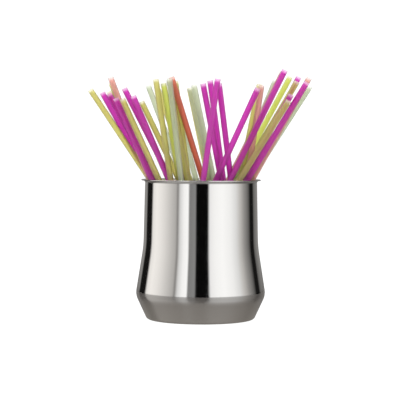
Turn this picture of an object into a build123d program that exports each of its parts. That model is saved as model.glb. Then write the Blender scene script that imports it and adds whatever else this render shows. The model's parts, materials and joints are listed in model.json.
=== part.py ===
from build123d import *
import math
import os

import numpy as np

# Straw holder: a polished steel cup full of loose plastic drinking straws.
# Lengths are in millimetres. The origin is the middle of the foot, +Z is up and the front looks along -Y.

# Cup, drawn from one sheet of steel: outside sizes, from the foot up
cup_height = 123.0
wall = 1.0
foot_radius = 47.2
shoulder_radius = 57.25
shoulder_height = 21.7
waist_radius = 50.5
waist_height = 64.4
neck_radius = 49.2
lip_radius = 52.5

# Outside radii of the bends between those sizes, and how many straight bands draw the tight and the inner ones
heel_bend = 4.0
shoulder_bend = 8.0
waist_bend = 110.0
lip_bend = 2.0
tight_bands = 3
inner_bands = 2

# Straws, straight tubes cut square, in three common lengths, drawn with a few flat sides
straw_diameter = 5.0
straw_wall = 0.25
straw_sides = 12
long_straw = 240.0
middle_straw = 225.0
short_straw = 210.0
straw_gap = 0.4
floor_gap = 0.25
pull_out = 155.0

# Straws from left to right as they stand in the cup: colour and length, then where the straw passes the neck
# and where its tip ends from side to side, then how deep it lies at the neck and at the foot, front first.
# The shares are of the neck's inside radius, and at the foot of the floor's radius.
straw_shares = [
    ("yellow", long_straw, -0.91, -2.06, -0.10, -0.20),
    ("magenta", middle_straw, -0.89, -2.03, 0.15, 0.15),
    ("yellow", middle_straw, -0.78, -1.98, 0.40, 0.55),
    ("magenta", middle_straw, -0.87, -1.98, 0.40, 0.25),
    ("coral", middle_straw, -0.93, -1.76, -0.15, -0.35),
    ("magenta", short_straw, -0.86, -1.66, -0.35, -0.65),
    ("yellow", short_straw, -0.75, -1.54, -0.50, -0.60),
    ("yellow", middle_straw, -0.70, -1.82, 0.55, 0.60),
    ("magenta", middle_straw, -0.48, -1.38, -0.50, 0.20),
    ("magenta", short_straw, -0.51, -1.30, -0.65, -0.75),
    ("mint", short_straw, -0.53, -1.31, 0.40, 0.80),
    ("mint", middle_straw, -0.22, -1.24, 0.90, 0.45),
    ("yellow", short_straw, -0.41, -1.12, -0.15, -0.35),
    ("yellow", middle_straw, -0.16, -0.96, 0.90, 0.15),
    ("yellow", short_straw, -0.56, -0.77, -0.75, -0.35),
    ("lime", short_straw, -0.46, -0.67, -0.55, 0.10),
    ("mint", short_straw, -0.33, -0.59, -0.85, -0.35),
    ("mint", short_straw, -0.06, -0.63, 0.75, 0.65),
    ("yellow", short_straw, -0.10, -0.56, -0.90, -0.85),
    ("yellow", short_straw, -0.22, -0.56, -0.25, -0.25),
    ("orange", middle_straw, 0.16, -0.48, -0.70, 0.35),
    ("mint", short_straw, 0.16, -0.36, 0.65, 0.70),
    ("mint", short_straw, 0.20, -0.29, -0.30, -0.70),
    ("yellow", short_straw, 0.22, -0.25, 0.85, 0.75),
    ("magenta", short_straw, 0.38, -0.10, -0.55, -0.35),
    ("magenta", short_straw, 0.54, 0.21, -0.60, -0.25),
    ("magenta", short_straw, 0.43, 0.18, -0.50, -0.05),
    ("magenta", short_straw, -0.03, 0.39, -0.95, -0.65),
    ("magenta", middle_straw, 0.22, 0.97, -0.85, 0.30),
    ("coral", short_straw, 0.80, 0.91, -0.10, 0.40),
    ("yellow", short_straw, 0.71, 1.12, -0.05, 0.30),
    ("mint", middle_straw, 0.79, 1.37, 0.30, 0.45),
    ("magenta", long_straw, 0.48, 1.50, -0.75, -0.20),
    ("coral", long_straw, 0.42, 1.54, 0.05, 0.10),
    ("yellow", middle_straw, 0.57, 1.58, -0.65, 0.05),
    ("lime", long_straw, 0.66, 1.75, 0.55, 0.30),
    ("magenta", middle_straw, 0.67, 1.67, -0.35, 0.35),
    ("magenta", long_straw, 0.73, 1.95, -0.45, -0.45),
    ("magenta", long_straw, 0.71, 1.90, 0.10, 0.00),
    ("yellow", long_straw, 0.69, 1.86, 0.15, 0.60),
    ("coral", long_straw, 0.93, 2.02, 0.00, 0.60),
    ("mint", long_straw, 0.87, 2.00, 0.40, 0.40),
]

# How the straws settle: pushes start soft and turn firm, then the wishes for place are let go
settle_steps = 12000
soft_push_share = 0.0005
firm_push_share = 0.6
firm_from_share = 0.5
free_from_share = 0.65
neck_wish_share = 0.03
tip_wish_share = 0.06
parallel_share = 1e-9

os.makedirs("parts", exist_ok=True)


def parallel(points, distance):
    """The polyline that runs beside points, at distance to its left, with its corners mitred."""
    lines = []
    for start, end in zip(points, points[1:]):
        along = (Vector(*end) - Vector(*start)).normalized()
        left = Vector(-along.Y, along.X)
        lines.append((Vector(*start) + left * distance, along, left))
    corners = [lines[0][0]]
    for (start, along, _), (other, _, left) in zip(lines, lines[1:]):
        corners.append(start + along * ((other - start).dot(left) / along.dot(left)))
    last_start, last_along, _ = lines[-1]
    reach = (Vector(*points[-1]) - last_start).dot(last_along)
    return corners + [last_start + last_along * reach]


def bent(before, corner, after, radius, bands):
    """A bend of the sheet at a corner: the points on its arc that part it into straight bands."""
    back = (Vector(*before) - Vector(*corner)).normalized()
    on = (Vector(*after) - Vector(*corner)).normalized()
    half = math.acos(back.dot(on)) / 2
    turn = math.pi - 2 * half
    middle = Vector(*corner) + (back + on).normalized() * (radius / math.sin(half))
    start = Vector(*corner) + back * (radius / math.tan(half)) - middle
    end = Vector(*corner) + on * (radius / math.tan(half)) - middle
    angles = [turn * band / bands for band in range(bands + 1)]
    return [middle + (start * math.sin(turn - a) + end * math.sin(a)) / math.sin(turn) for a in angles]


# Cup wall: corners of the outside and of the inside, from the axis to the lip
outside = [
    (0, 0),
    (foot_radius, 0),
    (shoulder_radius, shoulder_height),
    (waist_radius, waist_height),
    (neck_radius, cup_height - wall),
    (lip_radius, cup_height - wall),
]
middle, heel, shoulder, waist, neck, lip = parallel(outside, wall)

outer_heel = bent(*outside[:3], heel_bend, tight_bands)
outer_lip = bent(*outside[3:], lip_bend, tight_bands)
outer_points = outside[:1] + outer_heel + outside[2:4] + outer_lip + outside[-1:]
sharp = [0] * (tight_bands + 1)
outer_bends = sharp + [shoulder_bend, waist_bend] + sharp

inner_heel = bent(middle, heel, shoulder, heel_bend - wall, inner_bands)
inner_shoulder = bent(heel, shoulder, waist, shoulder_bend - wall, inner_bands)
inner_lip = bent(waist, neck, lip, lip_bend + wall, tight_bands)
inner_points = [middle] + inner_heel + inner_shoulder + [waist] + inner_lip + [lip]

with BuildPart() as cup:
    with BuildSketch(Plane.XZ):
        with BuildLine():
            outer = FilletPolyline(*outer_points, radius=outer_bends)
            inner = Polyline(*inner_points)
            Line(outer @ 0, inner @ 0)
            Line(outer @ 1, inner @ 1)
        make_face()
    revolve(axis=Axis.Z)
cup.part.label = "cup"
export_step(cup.part, "parts/cup.step")


# Where the straws may stand: inside the heel's bend on the floor, and inside the lip's bend at the neck
straw_radius = straw_diameter / 2
throat_height = cup_height - wall - lip_bend
lip_bend_radius = neck_radius + lip_bend
heel_slope = math.atan2(shoulder_height, shoulder_radius - foot_radius)
floor_radius = heel.X - (heel_bend - wall) * math.tan(heel_slope / 2)
stand_radius = floor_radius - straw_radius - straw_gap
lip_reach = lip_bend + wall + straw_radius + straw_gap
rise = throat_height - wall

neck_side, tip_side, neck_depth, foot_depth = np.array([row[2:] for row in straw_shares]).T
lengths = np.array([row[1] for row in straw_shares])
neck_wish = neck_side * (neck_radius - wall)
tip_wish = tip_side * (neck_radius - wall)
first, second = np.triu_indices(len(straw_shares), 1)


def dot(a, b):
    """The dot products of two rows of vectors."""
    return (a * b).sum(axis=1)


def runs_of(necks, feet):
    """The vectors from each foot up to the neck."""
    return np.column_stack([necks - feet, np.full(len(feet), rise)])


def nearest(necks, feet):
    """For each pair of straws, along their whole pull-out: the two shares of the run where they come
    closest, and the vector between them there."""
    runs = runs_of(necks, feet)
    most = (lengths + pull_out) / np.sqrt(dot(runs, runs))
    a, b = runs[first], runs[second]
    apart = np.column_stack([feet[first] - feet[second], np.zeros(len(first))])
    aa, bb, ab = dot(a, a), dot(b, b), dot(a, b)
    cross = np.maximum(aa * bb - ab * ab, parallel_share * aa * bb)
    on_a = np.clip((ab * dot(b, apart) - bb * dot(a, apart)) / cross, 0, most[first])
    on_b = np.clip((ab * on_a + dot(b, apart)) / bb, 0, most[second])
    on_a = np.clip((ab * on_b - dot(a, apart)) / aa, 0, most[first])
    return on_a, on_b, apart + on_a[:, None] * a - on_b[:, None] * b


def move(necks, feet, who, share, shift):
    """Shift straws at that share of their run, with the least movement of neck and foot."""
    least = shift / ((1 - share) ** 2 + share**2)[:, None]
    np.add.at(necks, who, least * share[:, None])
    np.add.at(feet, who, least * (1 - share)[:, None])


def hold_inside(points, limits):
    """Bring points that lie too far out back to their limits."""
    out = np.sqrt(dot(points, points))
    points *= np.minimum(1, limits / np.maximum(out, limits))[:, None]


def settle():
    """Where each straw passes the neck and where it stands, so that none touches another.
    Each straw keeps near its wished neck and tip from side to side, and gives way mostly in depth."""
    everyone = np.arange(len(lengths))
    necks = np.column_stack([neck_wish, neck_depth * (neck_radius - wall)])
    lean = (tip_wish - neck_wish) / (lengths - rise)
    feet = np.column_stack([neck_wish - lean * rise, foot_depth * floor_radius])
    for step in range(settle_steps):
        progress = step / settle_steps
        firm = min(1, progress / firm_from_share)
        push = soft_push_share * (firm_push_share / soft_push_share) ** firm
        wish = min(1, max(0, (free_from_share - progress) / (free_from_share - firm_from_share)))

        necks[:, 0] += wish * neck_wish_share * (neck_wish - necks[:, 0])
        runs = runs_of(necks, feet)
        tips = lengths / np.sqrt(dot(runs, runs))
        miss = tip_wish - feet[:, 0] - tips * runs[:, 0]
        move(necks, feet, everyone, tips, wish * tip_wish_share * miss[:, None] * np.array([[1, 0]]))

        on_a, on_b, between = nearest(necks, feet)
        distance = np.sqrt(dot(between, between))
        overlap = np.maximum(0, straw_diameter + straw_gap - distance)
        level = between[:, :2] / distance[:, None]
        shift = push * (overlap / 2 / dot(level, level))[:, None] * level
        move(necks, feet, first, on_a, shift)
        move(necks, feet, second, on_b, -shift)

        runs = runs_of(necks, feet)
        slant = np.sqrt(dot(runs, runs)) / rise
        hold_inside(necks, lip_bend_radius - lip_reach * slant)
        hold_inside(feet, np.full(len(feet), stand_radius))
    return necks, feet


necks, feet = settle()


def end_plane(foot, run):
    """The plane of a straw's lower end, on its line, where the low edge of the cut just clears the floor."""
    direction = Vector(*run)
    low_edge = straw_radius * math.hypot(*run[:2]) / direction.length
    return Plane(origin=Vector(*foot, wall) + direction * ((low_edge + floor_gap) / rise), z_dir=direction)


# Straws, each a loose piece that lifts out along its own length
for number, (row, foot, run) in enumerate(zip(straw_shares, feet, runs_of(necks, feet)), start=1):
    colour, length = row[:2]
    name = f"straw_{number:02d}_{colour}"
    with BuildPart() as straw:
        with BuildSketch(end_plane(foot, run)):
            RegularPolygon(straw_radius, straw_sides, major_radius=False)
            RegularPolygon(straw_radius - straw_wall, straw_sides, major_radius=False, mode=Mode.SUBTRACT)
        extrude(amount=length)
    straw.part.label = name
    export_step(straw.part, f"parts/{name}.step")
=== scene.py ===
import json
import math

import bpy
import numpy as np
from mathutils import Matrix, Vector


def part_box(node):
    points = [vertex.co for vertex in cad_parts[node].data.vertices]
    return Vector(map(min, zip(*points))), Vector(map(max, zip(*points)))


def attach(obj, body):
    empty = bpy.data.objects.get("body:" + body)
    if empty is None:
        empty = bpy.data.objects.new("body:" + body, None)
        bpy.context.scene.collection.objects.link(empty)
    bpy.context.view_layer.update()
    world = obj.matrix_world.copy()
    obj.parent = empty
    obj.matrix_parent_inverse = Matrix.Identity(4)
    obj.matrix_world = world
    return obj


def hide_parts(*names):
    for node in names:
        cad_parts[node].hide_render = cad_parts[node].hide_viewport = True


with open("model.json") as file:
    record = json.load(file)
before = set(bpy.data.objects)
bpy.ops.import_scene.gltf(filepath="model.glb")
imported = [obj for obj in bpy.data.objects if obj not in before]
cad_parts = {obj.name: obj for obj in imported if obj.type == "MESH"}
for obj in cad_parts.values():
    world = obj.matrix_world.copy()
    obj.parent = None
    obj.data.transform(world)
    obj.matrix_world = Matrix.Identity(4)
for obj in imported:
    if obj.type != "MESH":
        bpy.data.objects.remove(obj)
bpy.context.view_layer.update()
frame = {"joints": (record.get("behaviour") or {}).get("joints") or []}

# Everything is in metres, in the solids' frame: the foot's middle is the origin, and the front looks along -Y.
MM = 0.001

# The cup's outside corners from the axis to the lip, radius and height, and the bends of the sheet between them at
# the heel, shoulder, waist and lip. The shoulder's bend is as soft as the light on its edge shows.
WALL = 1.0 * MM
CUP_CORNERS = np.array([
    (0.0, 0.0), (47.2, 0.0), (57.25, 21.7), (50.5, 64.4), (49.2, 122.0), (52.5, 122.0),
]) * MM
CUP_BENDS = np.array([4.0, 15.0, 110.0, 2.0]) * MM
INSIDE_STEPS = np.array([-1, -1, 1, 1]) * WALL
LIP_EDGE = 0.48 * MM
BEND_TURN = math.radians(4)
LIP_TURN = math.radians(12)
FEWEST_BEND_POINTS = 5
CUP_STEP = 2.5 * MM
CUP_AROUND = 256

# The straws: tubes in three lengths, a little bowed, with rounded rims and ends that the knife has pressed oval
STRAW_RADIUS = 2.5 * MM
STRAW_WALL = 0.25 * MM
STRAW_LENGTHS = np.array([210.0, 225.0, 240.0]) * MM
STRAW_EDGE = 0.1 * MM
STRAW_BOW = 0.12 * MM
PRESS_SHARE = 0.05
LEAST_PRESS = 0.3
PRESS_REACH = 4 * MM
FIRST_RING = 0.4 * MM
RIM_POINTS = 7
STRAW_RINGS = 24
STRAW_AROUND = 40


def linear(code):
    """A hex colour's red, green and blue as linear light, with alpha 1."""
    parts = np.array([int(code[k:k + 2], 16) for k in (1, 3, 5)]) / 255
    light = np.where(parts <= 0.04045, parts / 12.92, ((parts + 0.055) / 1.055) ** 2.4)
    return (*light.tolist(), 1.0)


def unit(vectors):
    """Vectors scaled to length 1."""
    return vectors / np.linalg.norm(vectors, axis=-1, keepdims=True)


# Shapes

def beside(corners, distance):
    """The line beside a line of corners, at a distance to its left: each run is shifted along its left normal, and
    neighbouring runs are cut where they meet."""
    along = unit(np.diff(corners, axis=0))
    left = np.column_stack([-along[:, 1], along[:, 0]])
    start = corners[:-1] + left * distance
    gap = np.sum((start[1:] - start[:-1]) * left[1:], axis=1) / np.sum(along[:-1] * left[1:], axis=1)
    meet = start[:-1] + along[:-1] * gap[:, None]
    return np.vstack([start[:1], meet, corners[-1:] + left[-1:] * distance])


def rounded(corners, bends, turn):
    """A line through the corners whose inner corners are arcs: each arc's middle lies on the corner's bisector, one
    bend from both runs, and its points turn evenly from the first run to the second."""
    pieces = [corners[:1]]
    for before, corner, after, bend in zip(corners, corners[1:], corners[2:], bends):
        back, ahead = unit(before - corner), unit(after - corner)
        half = math.acos(float(np.clip(back @ ahead, -1, 1))) / 2
        middle = corner + unit(back + ahead) * bend / math.sin(half)
        from_middle = corner + back * bend / math.tan(half) - middle
        side = np.sign(back[1] * ahead[0] - back[0] * ahead[1])
        count = max(FEWEST_BEND_POINTS, math.ceil((math.pi - 2 * half) / turn))
        angle = side * np.linspace(0, math.pi - 2 * half, count)
        pieces.append(middle + np.column_stack([
            np.cos(angle) * from_middle[0] - np.sin(angle) * from_middle[1],
            np.sin(angle) * from_middle[0] + np.cos(angle) * from_middle[1],
        ]))
    return np.vstack([*pieces, corners[-1:]])


def divided(line, step):
    """The line with points added on its long runs, evenly, so that none is longer than step."""
    counts = np.maximum(1, np.ceil(np.linalg.norm(np.diff(line, axis=0), axis=1) / step)).astype(int)
    run = np.repeat(np.arange(len(counts)), counts)
    share = (np.arange(len(run)) - np.repeat(np.cumsum(counts) - counts, counts)) / counts[run]
    return np.vstack([line[run] + share[:, None] * (line[run + 1] - line[run]), line[-1:]])


def mesh_piece(name, points, faces, corner_uv, material):
    """A smooth mesh object at the origin, from arrays of points, faces and the UV place of each face's corners."""
    mesh = bpy.data.meshes.new(name)
    mesh.from_pydata(points.tolist(), [], sum((group.tolist() for group in faces), []))
    uv = mesh.uv_layers.new(name="Surface")
    uv.data.foreach_set("uv", np.vstack([place.reshape(-1, 2) for place in corner_uv]).ravel())
    mesh.polygons.foreach_set("use_smooth", np.ones(len(mesh.polygons), bool))
    mesh.materials.append(material)
    piece = bpy.data.objects.new(name, mesh)
    bpy.context.scene.collection.objects.link(piece)
    return piece


def turned_grid(rings, around, closed):
    """Faces and their corners' steps for a grid of rings by points around: each ring joins the next one, and the last
    joins the first where the section is closed."""
    ring, place = np.meshgrid(np.arange(rings if closed else rings - 1), np.arange(around), indexing="ij")
    ring, place = ring.ravel(), place.ravel()
    corner_ring = np.column_stack([ring, ring, ring + 1, ring + 1])
    corner_place = np.column_stack([place, place + 1, place + 1, place])
    return corner_ring % rings * around + corner_place % around, corner_ring, corner_place


def turned_cup(name, section, around, material):
    """A section line from the axis back to the axis, turned about Z: point = (r cos a, r sin a, z). The two ends are
    single points, closed by fans. UV is the turn, and the length along the section in metres."""
    angle = np.arange(around) * 2 * math.pi / around
    inner = section[1:-1]
    ring = np.stack([inner[:, :1] * np.cos(angle), inner[:, :1] * np.sin(angle), inner[:, 1:] + 0 * angle], axis=2)
    points = np.vstack([ring.reshape(-1, 3), (0, 0, section[0, 1]), (0, 0, section[-1, 1])])
    length = np.concatenate([[0], np.cumsum(np.linalg.norm(np.diff(section, axis=0), axis=1))])
    faces, corner_ring, corner_place = turned_grid(len(inner), around, False)
    uv = np.stack([corner_place / around, length[1:-1][corner_ring]], axis=2)
    here, there = np.arange(around), np.arange(1, around + 1)
    low = np.full(around, len(points) - 2)
    high = low + 1
    last = (len(inner) - 1) * around
    fan_low = np.column_stack([low, there % around, here])
    fan_high = np.column_stack([high, last + here, last + there % around])
    turn = np.column_stack([(here + there) / 2, there, here]) / around
    uv_low = np.stack([turn, np.tile([length[0], length[1], length[1]], (around, 1))], axis=2)
    uv_high = np.stack([turn[:, [0, 2, 1]], np.tile([length[-1], length[-2], length[-2]], (around, 1))], axis=2)
    return mesh_piece(name, points, [faces, fan_low, fan_high], [uv, uv_low, uv_high], material)


def straw_tube(name, foot, axis, length, seed, material):
    """A tube from its foot along its axis. The wall's closed section runs up the outside, over a rounded rim, down the
    inside and round the lower rim; it is turned about the axis. The tube bows by a sine over its length, and near the
    cut ends its circle is pressed to an ellipse by a share that fades with the square of the distance. UV is the way
    round the outside and the distance from the nearer end, in metres."""
    random = np.random.default_rng(seed)
    edge = np.linspace(0, math.pi, RIM_POINTS)[1:-1]
    half_wall = STRAW_WALL / 2
    middle = STRAW_RADIUS - half_wall
    climb = np.concatenate([[0], np.geomspace(FIRST_RING, length / 2, STRAW_RINGS // 2)])
    climb = np.concatenate([climb, length - climb[-2::-1]])
    rise = np.clip(climb, STRAW_EDGE, length - STRAW_EDGE)
    top = np.column_stack([middle + half_wall * np.cos(edge), length - STRAW_EDGE * (1 - np.sin(edge))])
    bottom = np.column_stack([middle - half_wall * np.cos(edge), STRAW_EDGE * (1 - np.sin(edge))])
    section = np.vstack([
        np.column_stack([np.full(len(rise), STRAW_RADIUS), rise]), top,
        np.column_stack([np.full(len(rise), STRAW_RADIUS - STRAW_WALL), rise[::-1]]), bottom,
    ])
    angle = np.arange(STRAW_AROUND) * 2 * math.pi / STRAW_AROUND
    along = section[:, 1:]
    from_end = np.minimum(along, length - along)
    press = PRESS_SHARE * random.uniform(LEAST_PRESS, 1) * np.exp(-(from_end / PRESS_REACH) ** 2)
    turn = random.uniform(0, math.pi)
    thin = 1 - press * np.cos(angle - turn) ** 2
    side = unit(np.cross(axis, (0, 1, 0)))
    front = np.cross(axis, side)
    bow = STRAW_BOW * random.uniform(-1, 1) * np.sin(math.pi * along / length)
    across = section[:, :1] * np.cos(angle) * thin + bow
    deep = section[:, :1] * np.sin(angle) * thin
    points = foot + across[..., None] * side + deep[..., None] * front + along[..., None] * axis
    faces, corner_ring, corner_place = turned_grid(len(section), STRAW_AROUND, True)
    way_round = corner_place / STRAW_AROUND * 2 * math.pi * STRAW_RADIUS
    uv = np.stack([way_round, from_end[corner_ring % len(section), 0]], axis=2)
    return mesh_piece(name, points.reshape(-1, 3), [faces], [uv], material)


# Materials

def add(tree, kind, inputs=None, **settings):
    """One shader node with its settings; inputs are values, or sockets that are linked."""
    node = tree.nodes.new("ShaderNode" + kind)
    for field, value in settings.items():
        setattr(node, field, value)
    for name, value in (inputs or {}).items():
        if isinstance(value, bpy.types.NodeSocket):
            tree.links.new(value, node.inputs[name])
        else:
            node.inputs[name].default_value = value
    return node


def new_material(name):
    """An empty material, its node tree and its output node."""
    material = bpy.data.materials.new(name)
    material.use_nodes = True
    material.node_tree.nodes.clear()
    return material, material.node_tree, material.node_tree.nodes.new("ShaderNodeOutputMaterial")


def polished_stainless_steel():
    """Drawn stainless steel, buffed to a mirror on a turning wheel: clear reflections with a faint haze, and buffing
    lines that run round the cup."""
    # Real buffing lines are a few hundredths of a millimetre wide, too fine to show, so they are drawn 1.2 mm wide.
    # Each runs about half a turn. The haze comes in patches about as wide as the wheel's edge.
    line_width, half_turns, patch_width = 1.2 * MM, 2.0, 18 * MM
    material, tree, output = new_material("stainless_steel_mirror_buffed")
    surface = add(tree, "UVMap", uv_map="Surface")
    lines = add(tree, "Mapping", {"Vector": surface.outputs["UV"], "Scale": (half_turns, 1 / line_width, 1.0)})
    buff = add(tree, "TexNoise", {"Vector": lines.outputs["Vector"], "Scale": 1.0, "Detail": 4.0, "Roughness": 0.6})
    place = add(tree, "TexCoord")
    haze = add(tree, "TexNoise", {"Vector": place.outputs["Object"], "Scale": 1 / patch_width, "Detail": 3.0})
    both = add(tree, "Math", {0: buff.outputs["Fac"], 1: haze.outputs["Fac"]}, operation="MULTIPLY")
    rough = add(tree, "MapRange", {"Value": both.outputs[0], "From Min": 0.1, "From Max": 0.45,
                                   "To Min": 0.05, "To Max": 0.1})
    bump = add(tree, "Bump", {"Height": buff.outputs["Fac"], "Strength": 0.03, "Distance": 0.02 * MM})
    shader = add(tree, "BsdfPrincipled", {"Base Color": linear("#E2E1DF"), "Metallic": 1.0,
                                          "Roughness": rough.outputs["Result"], "Normal": bump.outputs["Normal"]})
    tree.links.new(shader.outputs["BSDF"], output.inputs["Surface"])
    return material


def straw_plastic(name, one_straw, pale, clear):
    """Extruded polypropylene dyed in the melt: a thin translucent wall with a soft gloss, die lines along the tube, and
    ends that are paler over their last few millimetres. one_straw is what one straw lets through: light passes
    two walls, so each wall has its root. clear is the share of light that passes; the dye scatters the rest."""
    # Real die lines are about 0.1 mm wide, too fine to show, so they are drawn 0.65 mm wide.
    line_width, line_run = 0.65 * MM, 75 * MM
    # The last 1 to 3.2 mm at each end are mixed towards a colour halfway from the pale one to white
    cut_starts, cut_full = 3.2 * MM, 1.0 * MM
    tint, pale = ((*np.sqrt(linear(code)[:3]).tolist(), 1.0) for code in (one_straw, pale))
    cut = tuple((1 + value) / 2 for value in pale)
    material, tree, output = new_material(name)
    surface = add(tree, "UVMap", uv_map="Surface")
    lines = add(tree, "Mapping", {"Vector": surface.outputs["UV"], "Scale": (1 / line_width, 1 / line_run, 1.0)})
    streak = add(tree, "TexNoise", {"Vector": lines.outputs["Vector"], "Scale": 1.0, "Detail": 3.0})
    split = add(tree, "SeparateXYZ", {"Vector": surface.outputs["UV"]})
    end = add(tree, "MapRange", {"Value": split.outputs["Y"], "From Min": cut_starts, "From Max": cut_full})
    thin = add(tree, "MapRange", {"Value": streak.outputs["Fac"], "From Min": 0.35, "From Max": 0.65, "To Max": 0.2})
    body = add(tree, "Mix", {"Factor": thin.outputs["Result"], "A": tint, "B": pale}, data_type="RGBA")
    colour = add(tree, "Mix", {"Factor": end.outputs["Result"], "A": body.outputs["Result"], "B": cut},
                 data_type="RGBA")
    rough = add(tree, "MapRange", {"Value": streak.outputs["Fac"], "To Min": 0.26, "To Max": 0.32})
    bump = add(tree, "Bump", {"Height": streak.outputs["Fac"], "Strength": 0.05, "Distance": 0.02 * MM})
    # Polypropylene's typical 1.49 stays in the gloss. In the wall it would haze the colour, so the wall has 1.3.
    shader = add(tree, "BsdfPrincipled", {
        "Base Color": colour.outputs["Result"], "Roughness": rough.outputs["Result"], "IOR": 1.3,
        "Transmission Weight": clear, "Coat Weight": 0.5, "Coat Roughness": 0.12, "Coat IOR": 1.49,
        "Normal": bump.outputs["Normal"],
    })
    tree.links.new(shader.outputs["BSDF"], output.inputs["Surface"])
    return material


steel = polished_stainless_steel()
plastics = {
    "magenta": straw_plastic("polypropylene_extruded_magenta", "#BC0C9A", "#CE50B4", 0.84),
    "yellow": straw_plastic("polypropylene_extruded_yellow", "#C8BF5A", "#DAD48C", 0.91),
    "lime": straw_plastic("polypropylene_extruded_lime", "#D2DC58", "#DCE488", 0.91),
    "mint": straw_plastic("polypropylene_extruded_mint", "#BAC49E", "#CCD4BA", 0.88),
    "coral": straw_plastic("polypropylene_extruded_coral", "#DA8E80", "#ECB8AE", 0.87),
    "orange": straw_plastic("polypropylene_extruded_orange", "#D04A2A", "#E08064", 0.83),
}

# The cup: outside line, rounded lip edge and inside line as one section
inside_corners = beside(CUP_CORNERS, WALL)
outer = rounded(CUP_CORNERS, CUP_BENDS, BEND_TURN)
inner = rounded(inside_corners, CUP_BENDS + INSIDE_STEPS, BEND_TURN)
lip = rounded(np.array([outer[-2], outer[-1], inner[-1], inner[-2]]), [LIP_EDGE, LIP_EDGE], LIP_TURN)
cup_section = divided(np.vstack([outer[:-1], lip[1:-1], inner[-2::-1]]), CUP_STEP)
cup = turned_cup("cup_shell", cup_section, CUP_AROUND, steel)
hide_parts("cup")
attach(cup, "cup")

# The straws: each stands for its solid, on the line that it slides along
for number, joint in enumerate(frame["joints"]):
    node = joint["child"]
    low, high = (np.array(corner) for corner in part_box(node))
    axis = unit(np.array(joint["axis"]))
    reach = (high[2] - low[2] - 2 * STRAW_RADIUS * math.sqrt(1 - axis[2] ** 2)) / axis[2]
    length = float(STRAW_LENGTHS[np.argmin(np.abs(STRAW_LENGTHS - reach))])
    colour = node.split("_")[2]
    foot = (low + high) / 2 - axis * length / 2
    straw = straw_tube(node + "_tube", foot, axis, length, number, plastics[colour])
    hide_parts(node)
    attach(straw, node)


# The stage: a white floor, and for reflections only a grey table, whose grey is painted shade standing in for the white
# floor, and a ring of soft panels and dark flags

FLOOR_SIZE = 12.0
TABLE_SIZE = 1.2
TABLE_FADE = np.array((50.0, 104.0)) * MM
TABLE_GLOSS = np.array((66.0, 92.0)) * MM
RING_RADIUS = 0.7
RING_STEPS = 721

# Panels by the angle round the cup, 0 towards the camera and positive to the right: angle, brightness and warmth
PANELS = np.array([
    (-180, 0.28, 1), (-141, 0.3, 1), (-135, 0.01, 1), (-115, 0.008, 1), (-109, 1.0, 1), (-98, 1.13, 1), (-86, 1.05, 1),
    (-75, 0.92, 1), (-50, 0.54, 1), (-46, 0.28, 1), (-41, 0.85, 0), (-33, 1.15, 0), (-25, 1.25, 0), (-22, 0.25, 0),
    (-11, 0.3, 0), (-8, 0.003, 0), (13, 0.003, 0), (17, 1.06, 0), (28, 1.18, 0), (42, 1.24, 0), (60, 1.12, 0),
    (73, 0.9, 0), (83, 0.65, 1), (94, 0.37, 1), (107, 0.17, 1), (115, 0.01, 1), (126, 0.01, 1), (132, 0.17, 1),
    (150, 0.28, 1), (180, 0.28, 1),
])
WARM = np.array((0.0, 0.03, 0.06))
# The ring's rows by height, dimmer just above the table: height and share of the brightness
RING_HEIGHTS = np.array([(0.0, 0.9), (0.012, 0.7), (0.03, 1.0), (1.0, 1.0)])


def stage_piece(name, points, faces, shader_kind, inputs):
    """A stage surface with one plain shader, kept apart from the object."""
    material, tree, output = new_material(name)
    shader = add(tree, shader_kind, inputs)
    tree.links.new(shader.outputs[0], output.inputs["Surface"])
    mesh = bpy.data.meshes.new(name)
    mesh.from_pydata(points.tolist(), [], faces.tolist())
    mesh.materials.append(material)
    piece = bpy.data.objects.new(name, mesh)
    bpy.context.scene.collection.objects.link(piece)
    return piece, tree, shader


def only_in_reflections(piece):
    """Hide a stage surface from everything but glossy rays."""
    piece.visible_camera = piece.visible_diffuse = piece.visible_transmission = piece.visible_shadow = False


def square(size):
    """The corners of a level square on the ground."""
    return np.array([(-1, -1, 0), (1, -1, 0), (1, 1, 0), (-1, 1, 0)]) * size


floor, _, _ = stage_piece("studio_floor", square(FLOOR_SIZE), np.array([[0, 1, 2, 3]]), "BsdfPrincipled",
                          {"Base Color": (0.06, 0.06, 0.06, 1), "Roughness": 0.9, "Specular IOR Level": 0.0,
                           "Emission Color": (1, 1, 1, 1), "Emission Strength": 1.0})
floor.visible_glossy = False

# The table's grey is painted shade: in reflections it takes the white floor's place. It is paler round the foot, and
# mirrors the panels away from it
table, table_tree, table_shade = stage_piece("studio_table_painted_shade", square(TABLE_SIZE), np.array([[0, 1, 2, 3]]),
                                             "BsdfPrincipled", {"IOR": 2.5, "Roughness": 0.3})
table_place = add(table_tree, "TexCoord")
table_radius = add(table_tree, "VectorMath", {0: table_place.outputs["Object"]}, operation="LENGTH")
table_fade = add(table_tree, "MapRange", {"Value": table_radius.outputs["Value"], "From Min": TABLE_FADE[0],
                                          "From Max": TABLE_FADE[1]})
# Painted shade: the grey that the cup's reflections see in place of the white floor, paler near the foot
table_painted_shade = add(table_tree, "Mix", {"Factor": table_fade.outputs["Result"], "A": linear("#837E78"),
                                     "B": linear("#6B6662")}, data_type="RGBA")
table_gloss = add(table_tree, "MapRange", {"Value": table_radius.outputs["Value"], "From Min": TABLE_GLOSS[0],
                                           "From Max": TABLE_GLOSS[1], "To Min": 0.2, "To Max": 1.0})
table_tree.links.new(table_gloss.outputs["Result"], table_shade.inputs["Specular IOR Level"])
table_tree.links.new(table_painted_shade.outputs["Result"], table_shade.inputs["Base Color"])
only_in_reflections(table)

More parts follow.
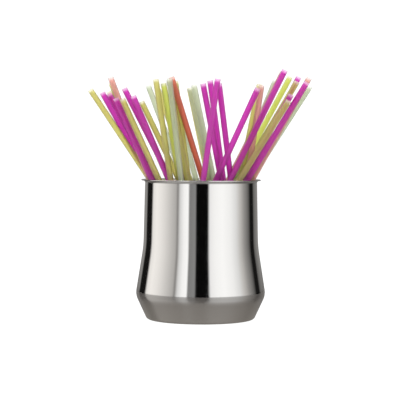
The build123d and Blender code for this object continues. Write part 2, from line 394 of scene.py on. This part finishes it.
around = np.radians(np.linspace(-180, 180, RING_STEPS))
ring_points = np.stack(np.broadcast_arrays(
    RING_RADIUS * np.sin(around), -RING_RADIUS * np.cos(around), RING_HEIGHTS[:, :1]), axis=2).reshape(-1, 3)
row, step = (part.ravel() for part in np.indices((len(RING_HEIGHTS) - 1, RING_STEPS - 1)))
ring_corner = row * RING_STEPS + step
ring_faces = np.column_stack([ring_corner, ring_corner + 1, ring_corner + 1 + RING_STEPS, ring_corner + RING_STEPS])
ring, ring_tree, ring_light = stage_piece("studio_ring", ring_points, ring_faces, "Emission", {"Strength": 1.0})
bright, warm = (np.interp(np.degrees(around), PANELS[:, 0], PANELS[:, column]) for column in (1, 2))
tone = np.column_stack([bright[:, None] * (1 - warm[:, None] * WARM), np.ones(RING_STEPS)])
shade = ring.data.color_attributes.new("panel", "FLOAT_COLOR", "POINT")
shade.data.foreach_set("color", (RING_HEIGHTS[:, 1:, None] * tone).ravel())
panel = add(ring_tree, "VertexColor", layer_name="panel")
ring_tree.links.new(panel.outputs["Color"], ring_light.inputs["Color"])
only_in_reflections(ring)

# A white room, with three large soft lamps round the straws: place and watts
ROOM_STRENGTH = 1.15
LAMP_AIM = np.array((0.0, 0.0, 0.15))
LAMP_SIZE = 1.2
LAMPS = {
    "key": ((-0.9, -1.1, 1.2), 50.0),
    "fill": ((1.2, -0.9, 0.9), 30.0),
    "rear": ((0.3, 1.3, 1.2), 30.0),
}
world = bpy.data.worlds.new("white_room")
world.use_nodes = True
world.node_tree.nodes["Background"].inputs["Color"].default_value = (1, 1, 1, 1)
world.node_tree.nodes["Background"].inputs["Strength"].default_value = ROOM_STRENGTH
bpy.context.scene.world = world

for name, (place, energy) in LAMPS.items():
    lamp_data = bpy.data.lights.new("soft_lamp_" + name, "AREA")
    lamp_data.shape = "DISK"
    lamp_data.size = LAMP_SIZE
    lamp_data.energy = energy
    lamp = bpy.data.objects.new("soft_lamp_" + name, lamp_data)
    lamp.location = place
    x, y, z = LAMP_AIM - np.array(place)
    lamp.rotation_euler = (math.atan2(math.hypot(x, y), -z), 0, math.atan2(-x, y))
    lamp.visible_glossy = lamp.visible_transmission = False
    bpy.context.scene.collection.objects.link(lamp)

# The camera stands in front, a little above the lip, looks slightly down and has a long lens
CAMERA_PLACE = (-0.00115, -1.376, 0.1556)
LOOK_DOWN = math.radians(2.113)
CAMERA_ROLL = math.radians(-0.3)
camera_data = bpy.data.cameras.new("camera")
camera_data.sensor_width = 36.0
camera_data.lens = 140.8
camera_data.clip_end = 50.0
camera = bpy.data.objects.new("camera", camera_data)
camera.location = CAMERA_PLACE
camera.rotation_euler = (math.radians(90) - LOOK_DOWN, CAMERA_ROLL, 0.0)
bpy.context.scene.collection.objects.link(camera)
bpy.context.scene.camera = camera
bpy.context.scene.view_settings.view_transform = "Standard"
